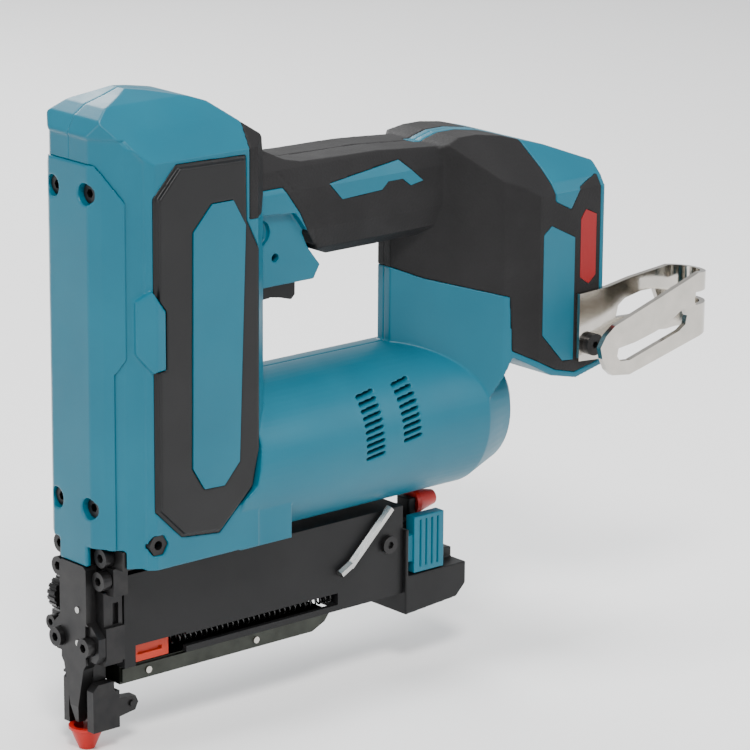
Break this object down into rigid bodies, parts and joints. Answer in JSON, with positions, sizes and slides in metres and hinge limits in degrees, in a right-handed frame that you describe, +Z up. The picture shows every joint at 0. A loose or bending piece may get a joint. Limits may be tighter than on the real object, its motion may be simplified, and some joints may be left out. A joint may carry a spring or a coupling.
{
  "type": "cordless brad nailer",
  "caption": "Cordless pin and brad nailer with upright driver tower, loop handle, motor barrel under it, sliding nail magazine, trigger and belt hook; battery not fitted.",
  "frame": {"origin": "middle of the nose tip's flat end, on the driver blade's line", "axes": "+X rearward along the magazine, +Y towards the tool's right-hand side, +Z up along the driver; the belt hook is on the left, -Y side"},
  "size_m": [0.2676, 0.0935, 0.24],
  "materials": {
    "housing": "fine moulded grain, teal",
    "grip_rubber": "fine pebble grain, charcoal",
    "black_plastic": "fine moulded grain, black",
    "badge": "smooth, red",
    "tip_plastic": "soft moulded, red",
    "pusher_plastic": "orange-red enamel",
    "black_steel": "black oxide",
    "nickel_steel": "bright nickel plate",
    "spring_steel": "drawn wire",
    "steel": "ground and hobbed",
    "zinc_alloy": "die cast",
    "bumper_rubber": "moulded",
    "laminations": "stamped laminations",
    "rail_plastic": "moulded, black"
  },
  "bodies": {
    "tool": {"housing_left": "housing", "housing_right": "housing", "front_cover": "housing", "trim_plates": "housing", "grip_left": "grip_rubber", "grip_right": "grip_rubber", "side_panel_left": "black_plastic", "side_panel_right": "black_plastic", "magazine_body": "black_plastic", "controller_board": "black_plastic", "terminal_block": "black_plastic", "trigger_switch": "black_plastic", "mount_badges": "badge", "nose_plate": "black_steel", "driver_guide": "black_steel", "front_screws": "black_steel", "dial_bracket": "black_steel", "housing_screws": "black_steel", "drive_frame": "black_steel", "gearbox_case": "black_steel", "belt_hook": "nickel_steel", "hook_screw": "nickel_steel", "nuts": "nickel_steel", "rail_rivets": "nickel_steel", "trigger_spring": "spring_steel", "nose_pins": "steel", "ring_gear": "steel", "bearings": "steel", "guide_rod": "steel", "trigger_pin": "steel", "magazine_rail": "steel", "motor_mount": "zinc_alloy", "bumper": "bumper_rubber", "motor_stator": "laminations", "battery_rails": "rail_plastic"},
    "trigger": {"trigger": "black_plastic"},
    "contact_arm": {"contact_arm": "black_steel", "contact_pin": "black_steel", "nose_adapter": "tip_plastic"},
    "depth_dial": {"depth_dial": "black_plastic"},
    "magazine_door": {"magazine_door": "black_plastic", "end_cap": "black_plastic", "hex_wrench": "nickel_steel", "door_screw": "nickel_steel", "spare_adapter": "tip_plastic", "latch_spring": "spring_steel"},
    "latch_lever": {"latch_lever": "housing"},
    "pusher": {"pusher": "pusher_plastic", "pusher_spring": "spring_steel"},
    "plunger": {"plunger": "zinc_alloy", "driver_blade": "steel", "main_spring": "spring_steel"},
    "lift_gear": {"lift_gear": "steel"},
    "gear_shaft": {"drive_gear": "steel", "planet_carrier": "steel"},
    "rotor": {"motor_rotor": "laminations", "motor_fan": "black_plastic"},
    "planet_1": {"planet_gear_1": "steel"},
    "planet_2": {"planet_gear_2": "steel"},
    "planet_3": {"planet_gear_3": "steel"}
  },
  "joints": [
    {"name": "trigger_pull", "type": "hinge", "parent": "tool", "child": "trigger", "pos_m": [0.077, 0, 0.172], "axis": [0, -1, 0], "range_deg": [0, 8], "stiffness_Nm_per_rad": 0.6, "springref_deg": -4.58, "deforming": ["trigger_spring"]},
    {"name": "contact_press", "type": "slide", "parent": "tool", "child": "contact_arm", "axis": [0, 0, 1], "range_m": [0, 0.004], "stiffness_N_per_m": 1200, "springref_m": -0.004},
    {"name": "depth_dial_turn", "type": "hinge", "parent": "tool", "child": "depth_dial", "pos_m": [0.0044, 0.017, 0.0535], "axis": [0, 1, 0], "range_deg": [0, 270]},
    {"name": "magazine_open", "type": "slide", "parent": "tool", "child": "magazine_door", "axis": [1, 0, 0], "range_m": [0, 0.09]},
    {"name": "latch_squeeze", "type": "hinge", "parent": "magazine_door", "child": "latch_lever", "pos_m": [0.144, -0.0089, 0.044], "axis": [0, 0, 1], "range_deg": [0, 8], "stiffness_Nm_per_rad": 0.3, "springref_deg": -5.73, "deforming": ["latch_spring"]},
    {"name": "pusher_slide", "type": "slide", "parent": "magazine_door", "child": "pusher", "axis": [1, 0, 0], "range_m": [0, 0.052], "stiffness_N_per_m": 30, "springref_m": -0.04, "deforming": ["pusher_spring"]},
    {"name": "motor_spin", "type": "hinge", "parent": "tool", "child": "rotor", "pos_m": [0.08, 0, 0.098], "axis": [-1, 0, 0], "range_deg": [0, 2149.59]},
    {"name": "gear_shaft_spin", "type": "hinge", "parent": "tool", "child": "gear_shaft", "pos_m": [0.05, 0, 0.098], "axis": [-1, 0, 0], "range_deg": [0, 430.22]},
    {"name": "lift_spin", "type": "hinge", "parent": "tool", "child": "lift_gear", "pos_m": [0.03, 0, 0.1255], "axis": [1, 0, 0], "range_deg": [0, 201.04]},
    {"name": "plunger_lift", "type": "slide", "parent": "tool", "child": "plunger", "axis": [0, 0, 1], "range_m": [0, 0.042], "stiffness_N_per_m": 1700, "springref_m": -0.02, "deforming": ["main_spring"]},
    {"name": "planet_1_spin", "type": "hinge", "parent": "gear_shaft", "child": "planet_1", "pos_m": [0.06, 0, 0.11], "axis": [1, 0, 0], "range_deg": [0, 1146.92]},
    {"name": "planet_2_spin", "type": "hinge", "parent": "gear_shaft", "child": "planet_2", "pos_m": [0.06, -0.01039, 0.092], "axis": [1, 0, 0], "range_deg": [0, 1146.92]},
    {"name": "planet_3_spin", "type": "hinge", "parent": "gear_shaft", "child": "planet_3", "pos_m": [0.06, 0.01039, 0.092], "axis": [1, 0, 0], "range_deg": [0, 1146.92]}
  ],
  "couplings": [
    {"joint": "motor_spin", "follows": "plunger_lift", "rad_per_m": 892.86},
    {"joint": "gear_shaft_spin", "follows": "plunger_lift", "rad_per_m": 178.57},
    {"joint": "lift_spin", "follows": "plunger_lift", "rad_per_m": 83.333},
    {"joint": "planet_1_spin", "follows": "plunger_lift", "rad_per_m": 476.19},
    {"joint": "planet_2_spin", "follows": "plunger_lift", "rad_per_m": 476.19},
    {"joint": "planet_3_spin", "follows": "plunger_lift", "rad_per_m": 476.19}
  ]
}
